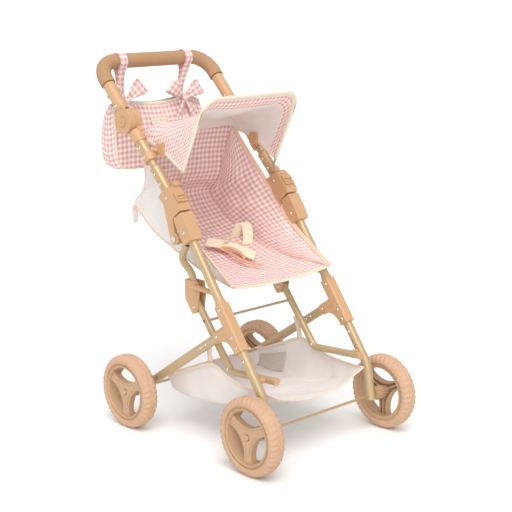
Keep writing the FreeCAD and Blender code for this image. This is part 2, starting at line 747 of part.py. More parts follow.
def harness():
    """Two lap straps with their buckle, lying on the pan."""
    strap = prism([(2, 252.6), (60, 256.4), (60, 258.4), (2, 254.6)], -9, 9)
    belt = prism([(40, 255.4), (56, 256.4), (56, 258.4), (40, 257.4)], -60, 60)
    return strap.fuse(belt).removeSplitter()


BASKET_FLOOR = 56.0
BASKET_RIM = [(-127.0, 60.0), (-129.0, 98.0), (-60.0, 101.0), (-8.0, 124.0), (40.0, 104.0),
              (96.0, 78.0), (96.0, 60.0)]
BASKET_X = 97.0


def basket():
    """Mesh tray with a flat floor, hung between front legs and rear rod."""
    outline = [(-118.0, BASKET_FLOOR), BASKET_RIM[0]] + BASKET_RIM[1:] + [(88.0, BASKET_FLOOR)]
    outer = prism(outline, -BASKET_X, BASKET_X)
    room = [(-116.5, BASKET_FLOOR + 2), (-125, 61), (-127, 140), (94, 140), (94, 61),
            (86.5, BASKET_FLOOR + 2)]
    return outer.cut(prism(room, -BASKET_X + 2, BASKET_X - 2))


BAG_Z = (388.0, 496.0)
BAG_X = 92.0
BAG_FRONT = HANDLE_BAR[0] - BAG_DEPTH / 2
STRAP_X = 66.0
STRAP_W = 18.0
STRAP_LOOP_D = GRIP_D + 3.6


def bag():
    """Open-topped box bag with rounded lower corners."""
    def block(inset, top):
        solid = Part.makeBox(2 * (BAG_X - inset), BAG_DEPTH - 2 * inset, top - BAG_Z[0] - inset,
                             Vector(-BAG_X + inset, BAG_FRONT + inset, BAG_Z[0] + inset))
        low = BAG_Z[0] + inset
        edges = [e for e in solid.Edges
                 if abs(e.CenterOfMass.z - low) < 0.1 and abs(abs(e.CenterOfMass.x) - BAG_X) < 4]
        return solid.makeFillet(24.0, edges)
    return block(0, BAG_Z[1]).cut(block(2, BAG_Z[1] + 10))


def bag_strap():
    """Fabric strap looped round the grip, with both ends sewn to the bag's rim."""
    x0 = STRAP_X - STRAP_W / 2
    x1 = x0 + STRAP_W
    inside = across(x0, x1, HANDLE_BAR, GRIP_D + 0.8)
    strap = across(x0, x1, HANDLE_BAR, STRAP_LOOP_D)
    for way in (-1, 1):
        rim_y = HANDLE_BAR[0] + way * BAG_DEPTH / 2
        edge_y = HANDLE_BAR[0] + way * STRAP_LOOP_D / 2
        drop = prism([(rim_y, BAG_Z[1]), (rim_y - way * 2, BAG_Z[1]),
                      (edge_y - way * 1.4, HANDLE_BAR[1] - 2), (edge_y, HANDLE_BAR[1])], x0, x1)
        strap = strap.fuse(drop)
    return strap.cut(inside).removeSplitter()


# ---- assembly ------------------------------------------------------------------------------

def build():
    wheels_and_axles()
    add_pair("front_leg_upper", front_leg_upper())
    add_pair("front_leg_lower", front_leg_lower())
    add_pair("t_connector", t_connector())
    add_pair("rear_leg", rear_leg())
    add_group("brace_tubes", [brace_tube()])
    add_group("brace_brackets", [brace_bracket()])
    add_group("link_tubes", [link_tube()])
    add_group("link_spacers", link_spacers())
    add_group("link_caps", [link_cap()])
    parts["cross_rods"] = cross_rods()
    add_pair("lower_hinge", lower_hinge())
    add_pair("upper_hinge", upper_hinge())
    add_group("hinge_pins", [hinge_pin()])
    add_pair("fold_latch", fold_latch())
    add_group("latch_springs", [latch_spring()])
    add_pair("side_tube", side_tube())
    add_group("lock_collars", [lock_collar()])
    add_pair("upper_side_tube", upper_side_tube())
    add_group("canopy_clips", [canopy_clip()])
    add_pair("hub_lower", hub_lower())
    add_pair("hub_upper", hub_upper())
    add_pair("hub_button", hub_button())
    add_group("button_springs", [button_spring()])
    parts["handle_tube"] = handle_tube()
    parts["foam_grip"] = foam_grip()
    parts["canopy_bow"] = canopy_bow()
    add_group("bow_bosses", [bow_boss()])
    parts["canopy_front"] = hood(139.0, 93.5, 86.0, BOW_ANGLE - 2)
    parts["canopy_rear"] = hood(128.0, 86.0, 42.0, 84.0)
    parts["seat_sling"] = seat_sling()
    parts["seat_front"] = seat_front()
    parts["harness"] = harness()
    parts["basket"] = basket()
    parts["bag"] = bag()
    add_group("bag_straps", [bag_strap()])
    add_group("base_rivets", base_rivets())
    add_group("upper_rivets", upper_rivets())
    add_group("handle_rivets", handle_rivets())


def export():
    os.makedirs("parts", exist_ok=True)
    box = FreeCAD.BoundBox()
    for node, shape in parts.items():
        shape.translate(Vector(0, -MIDDLE_Y, 0))
        shape.exportStep(f"parts/{node}.step")
        box.add(shape.optimalBoundingBox())
        if not shape.isValid() or shape.Volume <= 0:
            print("invalid:", node)
    print(len(parts), "nodes, box", [round(v, 2) for v in
          (box.XMin, box.YMin, box.ZMin, box.XMax, box.YMax, box.ZMax)])


build()
export()
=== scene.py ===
"""Doll stroller: materials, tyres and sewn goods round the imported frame.

Metres, front to -Y, up +Z. Side-view places are (y, z) pairs in millimetres from the middle of
the wheelbase, as a maker would draw them, and at() turns them into the frame's own metres.
"""

import json
import math

import bmesh
import bpy
import numpy as np
from mathutils import Matrix, Vector, noise


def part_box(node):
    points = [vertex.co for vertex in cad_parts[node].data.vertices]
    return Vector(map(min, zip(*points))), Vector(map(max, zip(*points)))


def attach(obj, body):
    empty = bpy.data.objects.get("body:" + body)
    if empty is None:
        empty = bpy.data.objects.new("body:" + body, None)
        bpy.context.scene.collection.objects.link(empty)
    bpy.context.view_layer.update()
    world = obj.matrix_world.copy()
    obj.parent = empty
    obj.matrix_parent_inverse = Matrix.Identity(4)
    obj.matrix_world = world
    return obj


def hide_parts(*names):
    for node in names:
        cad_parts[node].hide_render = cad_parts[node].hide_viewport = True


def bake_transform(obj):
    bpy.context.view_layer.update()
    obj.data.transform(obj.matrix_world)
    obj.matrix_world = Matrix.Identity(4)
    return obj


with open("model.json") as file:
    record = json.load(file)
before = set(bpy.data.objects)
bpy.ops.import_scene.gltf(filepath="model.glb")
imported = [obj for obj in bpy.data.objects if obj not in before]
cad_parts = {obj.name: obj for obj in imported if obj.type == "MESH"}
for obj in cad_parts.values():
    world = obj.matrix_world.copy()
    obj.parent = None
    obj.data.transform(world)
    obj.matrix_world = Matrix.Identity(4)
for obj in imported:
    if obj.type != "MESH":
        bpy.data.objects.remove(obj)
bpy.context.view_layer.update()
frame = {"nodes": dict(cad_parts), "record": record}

bl_info = {
    "name": "Doll stroller",
    "version": (1, 0, 0),
    "blender": (4, 5, 0),
    "location": "View3D > Sidebar > Stroller",
    "description": "Makes the stroller's finishes, tyres, seat, canopy, basket, bag and straps",
    "category": "Object",
}

NODES = frame["nodes"]
MM = 0.001
MIDDLE_Y = 29.2106         # from the middle of the wheelbase to the middle of the frame
SIDES = (("left", 1), ("right", -1))
ENDS = ("front", "rear")
HANDLE_BAR = (234.92, 557.41)
NOISE_RANGE = (0.3, 0.7)   # what a noise factor mostly keeps to
MATERIALS = {}             # finishes by short name
GROUPS = {}                # Geometry Nodes trees by short name


def at(x, y, z):
    """A place in millimetres from the middle of the wheelbase, in the frame's metres."""
    return Vector((x, y - MIDDLE_Y, z)) * MM


def linear(code):
    """An sRGB hex colour as linear red, green and blue."""
    parts = [int(code[i:i + 2], 16) / 255 for i in (1, 3, 5)]
    return tuple(c / 12.92 if c <= 0.04045 else ((c + 0.055) / 1.055) ** 2.4 for c in parts)


# ---- sizes and colours that a user would change ----

def colour(name, code, text):
    return bpy.props.FloatVectorProperty(name=name, description=text, subtype="COLOR", size=3,
                                         min=0, max=1, default=linear(code))


def length(name, default, text):
    return bpy.props.FloatProperty(name=name, description=text, unit="LENGTH", subtype="DISTANCE",
                                   default=default, min=0)


class StrollerSizes(bpy.types.PropertyGroup):
    check: length("Check", 8.3 * MM, "One white and one pink stripe of the gingham")
    cloth: length("Cloth thickness", 0.9 * MM, "Thickness of the sewn cloth")
    tape_thickness: length("Tape thickness", 0.8 * MM, "How far the tape stands off the cloth")
    tread_depth: length("Tread depth", 1.5 * MM, "Depth of the grooves in the tyres")
    tread_count: bpy.props.IntProperty(name="Tread blocks", description="Blocks round each tyre",
                                       default=40, min=8, max=120)
    stitch: length("Stitch spacing", 3.2 * MM, "From one stitch to the next")


class StrollerColours(bpy.types.PropertyGroup):
    tube: colour("Tube", "#C0A781", "Champagne powder coat")
    upper_tube: colour("Upper tube", "#C3A27C", "Tan powder coat of the side and handle tubes")
    plastic: colour("Plastic", "#C99F76", "Moulded housings")
    grip: colour("Grip", "#B28C69", "Handle foam")
    tyre: colour("Tyre", "#CAA587", "Tyre foam")
    rim: colour("Rim", "#C19E7C", "Moulded rims")
    check_white: colour("Check white", "#F6EEEA", "Where two white stripes cross")
    check_pale: colour("Check pale", "#ECCAC5", "Where a white and a pink stripe cross")
    check_pink: colour("Check pink", "#DFA4A0", "Where two pink stripes cross")
    lining: colour("Lining", "#E9E2DE", "White lining")
    cream: colour("Cream tape", "#E6DBC8", "Binding of canopy, hem and bag")
    peach: colour("Peach tape", "#EBC6AE", "Binding of the seat's sides")
    thread: colour("Thread", "#F3E6D6", "Sewing thread")
    webbing: colour("Webbing", "#F8E7CF", "Lap straps")
    # The ribbon colour is painted shade: the apricot tone that the cream lap webbing takes where
    # it folds into shade, given to thin strips of their own
    ribbon: colour("Ribbon", "#EBA980", "Ribbon on the lap straps")
    mesh: colour("Mesh", "#EAE3DF", "Basket mesh")
    # The net colour is partly painted shade: the open patch is real, and its yarn is darkened to
    # stand for the shadow and far wheel seen through it
    net: colour("Net", "#D9CBC0", "Open net patch in the basket")
    basket_tape: colour("Basket tape", "#EBD6C4", "Binding of the basket")
    floor: colour("Floor", "#F7F6F5", "Studio floor")


def sizes():
    return bpy.context.scene.stroller_sizes


def colours():
    return bpy.context.scene.stroller_colours


# ---- materials ----

def add(tree, kind, links=None, **settings):
    """Adds a node, sets its properties and unlinked inputs, and links the rest."""
    made = tree.nodes.new(kind)
    for key, value in settings.items():
        setattr(made, key, value)
    for key, value in (links or {}).items():
        socket = made.inputs[key]
        if isinstance(value, bpy.types.NodeSocket):
            tree.links.new(value, socket)
        else:
            socket.default_value = value
    return made


def start_material(name):
    material = bpy.data.materials.new(name)
    material.use_nodes = True
    tree = material.node_tree
    tree.nodes.clear()
    output = add(tree, "ShaderNodeOutputMaterial")
    shader = add(tree, "ShaderNodeBsdfPrincipled")
    tree.links.new(shader.outputs["BSDF"], output.inputs["Surface"])
    return material, tree, shader


def rgba(value):
    return (*value, 1.0)


def plug(tree, shader, **values):
    """Links or sets a shader's inputs, whose spaces are written as underscores."""
    for key, value in values.items():
        socket = shader.inputs[key.replace("_", " ")]
        if isinstance(value, bpy.types.NodeSocket):
            tree.links.new(value, socket)
        else:
            socket.default_value = value


def reckoned(tree, operation, *values):
    """What a Math node makes of one or two values."""
    return add(tree, "ShaderNodeMath", dict(enumerate(values)), operation=operation).outputs[0]


def noise_factor(tree, cells, detail, **links):
    """Noise in the object's own space, of so many cells a metre."""
    place = add(tree, "ShaderNodeTexCoord").outputs["Object"]
    return add(tree, "ShaderNodeTexNoise",
               {"Vector": place, "Scale": cells, "Detail": detail, **links}).outputs["Fac"]


def carried(tree, value, start, end, low=0.0, high=1.0):
    """A value carried from the range start to end over to the range low to high."""
    return add(tree, "ShaderNodeMapRange", {"Value": value, "From Min": start, "From Max": end,
               "To Min": low, "To Max": high}).outputs["Result"]


def tinted(tree, base, shade):
    return add(tree, "ShaderNodeVectorMath", {0: base, "Scale": shade},
               operation="SCALE").outputs["Vector"]


def bumped(tree, height, strength, distance, **links):
    return add(tree, "ShaderNodeBump", {"Height": height, "Strength": strength,
               "Distance": distance, **links}).outputs["Normal"]


def hard_finish(name, base, cells, spread, roughness, bump, **values):
    """A colour that varies a little, a roughness that varies with it, and a grain in the bump."""
    material, tree, shader = start_material(name)
    low, high = NOISE_RANGE
    grain = noise_factor(tree, cells, 3.0, Roughness=0.6)
    both = reckoned(tree, "ADD", grain, noise_factor(tree, cells / 12, 2.0))
    shade = carried(tree, both, 2 * low, 2 * high, 1 - spread, 1 + spread)
    plug(tree, shader, Base_Color=tinted(tree, tuple(base), shade),
         Roughness=carried(tree, grain, low, high, roughness - 0.05, roughness + 0.05),
         Normal=bumped(tree, grain, bump, 0.3 * MM), **values)
    return material


def stripes(tree, coordinate, period, edge):
    """1 on every other stripe of a coordinate in metres, 0 between, with a soft edge."""
    turns = reckoned(tree, "MULTIPLY", coordinate, 2 * math.pi / period)
    return carried(tree, reckoned(tree, "SINE", turns), -edge, edge)


def weave_bump(tree, thread, strength):
    """Over-and-under threads. Real threads are about 0.25 mm; these are twice that, to show."""
    waves = [reckoned(tree, "SINE", reckoned(tree, "MULTIPLY", c, math.pi / thread))
             for c in cloth_coordinates(tree)]
    soft = bumped(tree, noise_factor(tree, 95.0, 3.0, Distortion=0.4), 0.8, 1.2 * MM)
    return bumped(tree, reckoned(tree, "MULTIPLY", *waves), strength, 0.25 * MM, Normal=soft)


def cloth_coordinates(tree):
    place = add(tree, "ShaderNodeUVMap", uv_map="cut").outputs["UV"]
    split = add(tree, "ShaderNodeSeparateXYZ", {"Vector": place})
    return split.outputs["X"], split.outputs["Y"]


def worn(tree, base, cells, palest):
    """A cloth's colour, uneven over patches of so many a metre."""
    shade = carried(tree, noise_factor(tree, cells, 4.0), *NOISE_RANGE, 0.96, palest)
    return tinted(tree, base, shade)


def gingham_cotton():
    """Yarn-dyed cotton gingham: pink and white stripes each way, darkest where two pinks cross."""
    material, tree, shader = start_material("woven_cotton_gingham_pink")
    count = reckoned(tree, "ADD", *(stripes(tree, c, sizes().check, 0.18)
                                    for c in cloth_coordinates(tree)))
    ramp = add(tree, "ShaderNodeValToRGB", {"Fac": reckoned(tree, "MULTIPLY", count, 0.5)})
    stops = ramp.color_ramp.elements
    stops[0].color = rgba(colours().check_white)
    stops[1].color = rgba(colours().check_pink)
    stops.new(0.5).color = rgba(colours().check_pale)
    plug(tree, shader, Base_Color=worn(tree, ramp.outputs["Color"], 60.0, 1.03),
         Normal=weave_bump(tree, 0.5 * MM, 0.35), Roughness=0.88, Sheen_Weight=0.15,
         Sheen_Roughness=0.5)
    return material


def plain_cloth(name, base, thread, strength, roughness=0.9):
    material, tree, shader = start_material(name)
    plug(tree, shader, Base_Color=worn(tree, tuple(base), 400.0, 1.02),
         Normal=weave_bump(tree, thread, strength), Roughness=roughness, Sheen_Weight=0.1)
    return material


def knitted_mesh(name, base, pitch, least):
    """Warp-knitted polyester mesh: small round holes, which a thin yarn runs round."""
    material, tree, shader = start_material(name)
    holes = [reckoned(tree, "COSINE", reckoned(tree, "MULTIPLY", c, 2 * math.pi / pitch))
             for c in cloth_coordinates(tree)]
    yarn = carried(tree, reckoned(tree, "ADD", *holes), 0.7, 1.3, 1.0, least)
    plug(tree, shader, Base_Color=rgba(base), Alpha=yarn,
         Normal=bumped(tree, yarn, 0.4, 0.3 * MM), Roughness=0.7)
    return material


def finish_materials():
    c = colours()
    GROUPS.update({"stitches": stitch_group(), "round": round_group()})
    MATERIALS.update({
        # Name, colour, noise cells a metre, spread of the colour, roughness and bump.
        # Satin metallic powder coat with faint orange peel
        "tube": hard_finish("powder_coated_steel_champagne", c.tube, 900.0, 0.03, 0.34, 0.12,
                            Metallic=0.25),
        "upper": hard_finish("powder_coated_steel_tan", c.upper_tube, 900.0, 0.03, 0.34, 0.12,
                             Metallic=0.25),
        # Fine-textured moulding with an even, soft sheen
        "plastic": hard_finish("moulded_ABS_warm_beige", c.plastic, 1300.0, 0.03, 0.46, 0.15,
                               IOR=1.53),
        # Closed-cell foam: dull, with open pores about 0.5 mm across
        "grip": hard_finish("extruded_foam_grip_tan", c.grip, 1800.0, 0.06, 0.86, 0.5),
        # Moulded foam with a matt skin
        "tyre": hard_finish("moulded_EVA_foam_tyre", c.tyre, 700.0, 0.07, 0.78, 0.35),
        # Slightly waxy moulding
        "rim": hard_finish("moulded_polypropylene_rim", c.rim, 1000.0, 0.04, 0.5, 0.15,
                           IOR=1.49),
        # Bright plating with fine turning marks
        "steel": hard_finish("nickel_plated_steel", linear("#D9D3C8"), 2500.0, 0.03, 0.24,
                             0.05, Metallic=1.0),
        # Spring wire with a thin gloss coat
        "wire": hard_finish("painted_spring_wire", linear("#B99F78"), 1500.0, 0.04, 0.36,
                            0.08, Metallic=0.3),
        "gingham": gingham_cotton(),
        # Name, colour, thread width, bump and roughness
        "thread": plain_cloth("polyester_sewing_thread", c.thread, 0.4 * MM, 0.2, 0.6),
        "lining": plain_cloth("polycotton_lining_white", c.lining, 0.5 * MM, 0.25),
        "cream": plain_cloth("cotton_bias_tape_cream", c.cream, 0.6 * MM, 0.3),
        "peach": plain_cloth("cotton_bias_tape_peach", c.peach, 0.6 * MM, 0.3),
        "webbing": plain_cloth("cotton_webbing_cream", c.webbing, 1.1 * MM, 0.6),
        # The ribbon finish is painted shade: the apricot of the lap webbing's shaded fold, on thin
        # strips of its own
        "ribbon": plain_cloth("webbing_fold_painted_shade_apricot", c.ribbon, 0.9 * MM, 0.4, 0.6),
        "basket_tape": plain_cloth("cotton_bias_tape_blush", c.basket_tape, 0.6 * MM, 0.3),
        # Name, colour, hole pitch and the holes' opacity
        "mesh": knitted_mesh("knitted_polyester_mesh_white", c.mesh, 1.7 * MM, 0.66),
        # The net's holes really let light through; its darker yarn is painted shade for the shadow
        # and far wheel behind the patch
        "net": knitted_mesh("knitted_polyester_net_painted_shade", c.net, 3.2 * MM, 0.1),
    })


# The finish of each slot that isn't called what its finish is
SLOT_FINISH = {"painted_tube": "tube", "foam": "grip", "tyre_foam": "tyre",
               "rim_plastic": "rim", "bow_wire": "wire", "strap_webbing": "webbing"}


# ---- mesh helpers ----

def new_object(name, vertices, faces, materials, indices=None, uvs=None, edges=()):
    """A smooth mesh object with its place in its mesh."""
    mesh = bpy.data.meshes.new(name)
    mesh.from_pydata([tuple(v) for v in vertices], list(edges), faces)
    made = bpy.data.objects.new(name, mesh)
    bpy.context.scene.collection.objects.link(made)
    for key in materials:
        mesh.materials.append(MATERIALS[key])
    for polygon in mesh.polygons:
        polygon.use_smooth = True
        if indices is not None:
            polygon.material_index = indices[polygon.index]
    if uvs is not None:
        layer = mesh.uv_layers.new(name="cut")
        for loop in mesh.loops:
            layer.data[loop.index].uv = uvs[loop.vertex_index]
    return made


def modifier(piece, kind, **settings):
    made = piece.modifiers.new(kind.lower(), kind)
    for key, value in settings.items():
        setattr(made, key, value)
    return made


def apply_modifiers(piece):
    """Replaces the mesh with its evaluated one and clears the modifiers."""
    graph = bpy.context.evaluated_depsgraph_get()
    mesh = bpy.data.meshes.new_from_object(piece.evaluated_get(graph), depsgraph=graph)
    old = piece.data
    piece.modifiers.clear()
    piece.data = mesh
    bpy.data.meshes.remove(old)
    return piece


def start_group(name, inputs):
    """A Geometry Nodes tree with a geometry input and output and the named inputs."""
    tree = bpy.data.node_groups.new(name, "GeometryNodeTree")
    tree.interface.new_socket("Geometry", in_out="INPUT", socket_type="NodeSocketGeometry")
    for key, kind in inputs.items():
        tree.interface.new_socket(key, in_out="INPUT", socket_type="NodeSocket" + kind)
    tree.interface.new_socket("Geometry", in_out="OUTPUT", socket_type="NodeSocketGeometry")
    entry = add(tree, "NodeGroupInput")
    leave = add(tree, "NodeGroupOutput")
    return tree, entry.outputs, leave.inputs["Geometry"]


def run_group(piece, tree, values):
    """Evaluates a tree on a piece and keeps the result as its mesh."""
    nodes = modifier(piece, "NODES", node_group=tree)
    for item in tree.interface.items_tree:
        if item.in_out == "INPUT" and item.name in values:
            nodes[item.identifier] = values[item.name]
    return apply_modifiers(piece)


def geometry(tree, kind, links, **settings):
    """A Geometry Nodes node's first output."""
    return add(tree, "GeometryNode" + kind, links, **settings).outputs[0]


def stitch_group():
    """Puts a row of stitches along every edge that has no face, and takes those edges away."""
    tree, entry, leave = start_group("stitches_along_loose_edges", {
        "Spacing": "Float", "Length": "Float", "Radius": "Float", "Thread": "Material"})
    around = add(tree, "GeometryNodeInputMeshEdgeNeighbors").outputs["Face Count"]
    loose = reckoned(tree, "LESS_THAN", around, 0.5)
    lines = geometry(tree, "MeshToCurve", {"Mesh": entry["Geometry"], "Selection": loose})
    places = add(tree, "GeometryNodeCurveToPoints", {"Curve": lines, "Length": entry["Spacing"]},
                 mode="LENGTH").outputs
    thread = geometry(tree, "MeshCylinder", {"Vertices": 6, "Radius": entry["Radius"],
                                             "Depth": entry["Length"]})
    row = geometry(tree, "InstanceOnPoints", {"Points": places["Points"], "Instance": thread,
                                              "Rotation": places["Rotation"]})
    real = geometry(tree, "RealizeInstances", {"Geometry": row})
    sewn = geometry(tree, "SetMaterial", {"Geometry": real, "Material": entry["Thread"]})
    cloth = geometry(tree, "DeleteGeometry", {"Geometry": entry["Geometry"],
                                              "Selection": loose}, domain="EDGE")
    both = add(tree, "GeometryNodeJoinGeometry")
    tree.links.new(cloth, both.inputs["Geometry"])
    tree.links.new(sewn, both.inputs["Geometry"])
    tree.links.new(both.outputs["Geometry"], leave)
    return tree


def round_group():
    """Repeats a segment round the X axis, joins the copies and carries them to a centre."""
    tree, entry, leave = start_group("segment_repeated_round_wheel", {
        "Count": "Int", "Centre": "Vector", "Foam": "Material"})
    points = geometry(tree, "Points", {"Count": entry["Count"]})
    index = geometry(tree, "InputIndex", {})
    turn = reckoned(tree, "MULTIPLY", reckoned(tree, "DIVIDE", index, entry["Count"]),
                    2 * math.pi)
    angle = add(tree, "ShaderNodeCombineXYZ", {"X": turn}).outputs["Vector"]
    ring = geometry(tree, "InstanceOnPoints", {"Points": points, "Instance": entry["Geometry"],
                                               "Rotation": angle})
    real = geometry(tree, "RealizeInstances", {"Geometry": ring})
    whole = geometry(tree, "MergeByDistance", {"Geometry": real, "Distance": 0.01 * MM})
    moved = geometry(tree, "Transform", {"Geometry": whole, "Translation": entry["Centre"]})
    done = geometry(tree, "SetMaterial", {"Geometry": moved, "Material": entry["Foam"]})
    tree.links.new(done, leave)
    return tree


def smooth_path(points, count):
    """A smooth curve through points, as evenly spaced rows of an array."""
    p = np.array(points, float)
    ends = np.vstack([2 * p[0] - p[1], p, 2 * p[-1] - p[-2]])
    fine = []
    for i in range(len(p) - 1):
        a, b, c, d = ends[i:i + 4]
        t = np.linspace(0, 1, 24, endpoint=False)[:, None]
        fine.append(0.5 * (2 * b + (c - a) * t + (2 * a - 5 * b + 4 * c - d) * t ** 2
                           + (3 * b - a - 3 * c + d) * t ** 3))
    fine = np.vstack(fine + [p[-1:]])
    return spaced(fine, count)


def spaced(points, count):
    points = np.asarray(points, float)
    steps = np.linalg.norm(np.diff(points, axis=0), axis=1)
    reach = np.concatenate([[0], np.cumsum(steps)])
    wanted = np.linspace(0, reach[-1], count)
    return np.stack([np.interp(wanted, reach, points[:, k]) for k in range(points.shape[1])], 1)


def grid_faces(rows, columns, closed=False):
    faces = []
    for r in range(rows - 1):
        for c in range(columns if closed else columns - 1):
            d = (c + 1) % columns
            low, high = r * columns, (r + 1) * columns
            faces.append((low + c, low + d, high + d, high + c))
    return faces


def cut_uv(grid):
    """Cloth coordinates in metres: along each row from its middle, and down the middle."""
    rows, columns, _ = grid.shape
    steps = np.linalg.norm(np.diff(grid, axis=1), axis=2)
    across = np.concatenate([np.zeros((rows, 1)), np.cumsum(steps, axis=1)], axis=1)
    across -= across[:, columns // 2:columns // 2 + 1]
    drop = np.linalg.norm(np.diff(grid[:, columns // 2], axis=0), axis=1)
    down = np.concatenate([[0], np.cumsum(drop)])
    return np.stack([across, np.repeat(down[:, None], columns, axis=1)], axis=2).reshape(-1, 2)


def grid_normals(grid):
    du = np.gradient(grid, axis=1)
    dv = np.gradient(grid, axis=0)
    n = np.cross(du, dv)
    return n / np.maximum(np.linalg.norm(n, axis=2, keepdims=True), 1e-12)


def crumple(grid, amount, size, seed, fade=None):
    """Moves cloth along its normals by smooth noise, so that it lies less flat."""
    n = grid_normals(grid)
    rows, columns, _ = grid.shape
    moved = grid.copy()
    for r in range(rows):
        for c in range(columns):
            p = Vector(grid[r, c]) / size + Vector((seed, 0, 0))
            height = noise.noise(p) + 0.5 * noise.noise(p * 2.3)
            share = 1.0 if fade is None else fade(r / (rows - 1), c / (columns - 1))
            moved[r, c] += n[r, c] * height * amount * share
    return moved


def cloth_piece(name, grid, materials, offset=1, indices=None, thickness=None):
    """A sheet of cloth on a grid of points, with a face and a lining."""
    rows, columns, _ = grid.shape
    piece = new_object(name, grid.reshape(-1, 3), grid_faces(rows, columns), materials, indices,
                       cut_uv(grid))
    modifier(piece, "SOLIDIFY", thickness=thickness or sizes().cloth, offset=0,
             material_offset=offset, material_offset_rim=0)
    return piece


TINY = 1e-9                # stands in for a length of nothing
STITCH_SHARE = 0.62        # of the spacing, the rest being the gap between stitches


def inset(grid, normals, width):
    """Where a width in from the first row lies, and the cloth's normals there."""
    reach = np.zeros(grid.shape[1])
    inner, inner_n = grid[0].copy(), normals[0].copy()
    done = np.zeros(grid.shape[1], bool)
    for r in range(1, grid.shape[0]):
        step = np.linalg.norm(grid[r] - grid[r - 1], axis=1)
        hit = (~done) & (reach + step >= width)
        share = np.where(step > 0, (width - reach) / np.maximum(step, TINY), 0)[:, None]
        point = grid[r - 1] + (grid[r] - grid[r - 1]) * share
        inner[hit] = point[hit]
        inner_n[hit] = normals[r][hit]
        done |= hit
        reach = reach + step
    return inner, inner_n


def tape(name, grid, key, width, bulk=0.0):
    """Binding folded over the first row of a cloth grid, and stitched through on both faces."""
    edge, normals = grid[0], grid_normals(grid)
    width = np.broadcast_to(np.asarray(width, float), (len(edge),))
    inner, inner_n = inset(grid, normals, width)
    stand = sizes().tape_thickness + sizes().cloth / 2
    thick = stand + bulk
    outward = edge - inner
    outward /= np.maximum(np.linalg.norm(outward, axis=1, keepdims=True), TINY)
    n0 = normals[0]

    def face(way):
        return [inner + way * inner_n * stand * 0.7,
                inner * 0.7 + edge * 0.3 + way * n0 * (stand + bulk * 0.3),
                inner * 0.3 + edge * 0.7 + way * n0 * (stand + bulk * 0.8),
                edge + way * n0 * thick * 0.95]

    fold = [edge + outward * thick * math.sin(t) + n0 * thick * math.cos(t)
            for t in (0.7, 1.2, math.pi / 2, 1.94, 2.44)]
    points = np.stack(face(1) + fold + face(-1)[::-1], axis=1)
    columns, section, _ = points.shape
    faces = []
    for c in range(columns - 1):
        for k in range(section):
            m = (k + 1) % section
            faces.append((c * section + k, (c + 1) * section + k, (c + 1) * section + m,
                          c * section + m))
    faces.append(tuple(range(section)))
    faces.append(tuple((columns - 1) * section + k for k in reversed(range(section))))
    steps = np.concatenate([[0], np.cumsum(np.linalg.norm(np.diff(edge, axis=0), axis=1))])
    uvs = [(steps[c], k * width[c] / 3) for c in range(columns) for k in range(section)]
    seam = inner * 0.72 + edge * 0.28
    lift = n0 * (stand + bulk * 0.3)
    vertices = np.vstack([points.reshape(-1, 3), seam + lift, seam - lift])
    uvs += [(0, 0)] * (2 * columns)
    start = columns * section
    edges = [(start + c, start + c + 1) for c in range(2 * columns - 1) if c != columns - 1]
    piece = outside(new_object(name, vertices, faces, [key], None, uvs, edges))
    return run_group(piece, GROUPS["stitches"], {
        "Spacing": sizes().stitch, "Length": STITCH_SHARE * sizes().stitch, "Radius": 0.28 * MM,
        "Thread": MATERIALS["thread"]})


def outside(piece):
    """Turns every face outwards."""
    work = bmesh.new()
    work.from_mesh(piece.data)
    bmesh.ops.recalc_face_normals(work, faces=work.faces)
    work.to_mesh(piece.data)
    work.free()
    return piece


def ribbon(name, path, widths, side, key, thickness=1.0 * MM):
    """A flat strap along a path, with its width along side, and thicker than cloth."""
    path = np.asarray(path, float)
    side = np.asarray(side, float)
    if side.ndim == 1:
        side = np.repeat(side[None], len(path), axis=0)
    side = side / np.linalg.norm(side, axis=1, keepdims=True)
    offsets = np.linspace(-0.5, 0.5, 7)
    widths = np.broadcast_to(np.asarray(widths, float), (len(path),))
    grid = path[:, None, :] + side[:, None, :] * (offsets[None, :, None]
                                                  * widths[:, None, None])
    return cloth_piece(name, grid, [key], 0, None, thickness)


# ---- seat ----

# The seam between pan and side wall: x, y, z from the top of the back to the front corner
SEAT_SEAM = [(95, 150, 449), (84, 159, 412), (79, 161, 384), (78, 170, 362), (78, 190, 339),
             (78, 168, 317), (78, 138, 297), (79, 70, 270), (84, 18, 256), (100, -60, 249)]
SEAT_CENTRE = [(0, 150, 452), (0, 162, 412), (0, 168, 384), (0, 177, 364), (0, 190, 341),
               (0, 168, 308), (0, 139, 287), (0, 70, 258), (0, 18, 249), (0, -57, 241)]
# The bound edge of the side wall, from the back's top corner down beside the tubes
SEAT_RAIL = [(98, 150, 447), (100, 118, 409), (101, 70, 359), (101, 23, 310), (101, -20, 279),
             (102, -62, 251)]
SEAT_ROWS, SEAT_COLUMNS, WALL_COLUMNS = 90, 41, 25
PAN_ROUNDING = 2.6         # how late the pan turns up towards its seams
WALL_HOLLOW = 5.0


def seat_grids():
    seam = smooth_path(SEAT_SEAM, SEAT_ROWS)
    centre = smooth_path(SEAT_CENTRE, SEAT_ROWS)
    rail = smooth_path(SEAT_RAIL, SEAT_ROWS)
    pan = np.zeros((SEAT_ROWS, SEAT_COLUMNS, 3))
    for c, share in enumerate(np.linspace(-1, 1, SEAT_COLUMNS)):
        lift = abs(share) ** PAN_ROUNDING
        row = centre * (1 - lift) + seam * lift
        row[:, 0] = seam[:, 0] * share
        pan[:, c] = row
    wall = np.zeros((WALL_COLUMNS, SEAT_ROWS, 3))
    for c, share in enumerate(np.linspace(0, 1, WALL_COLUMNS)):
        row = rail * (1 - share) + seam * share
        row[:, 0] -= WALL_HOLLOW * math.sin(math.pi * share)
        wall[c] = row
    return pan, wall


def to_frame(grid):
    return (grid - np.array([0, MIDDLE_Y, 0])) * MM


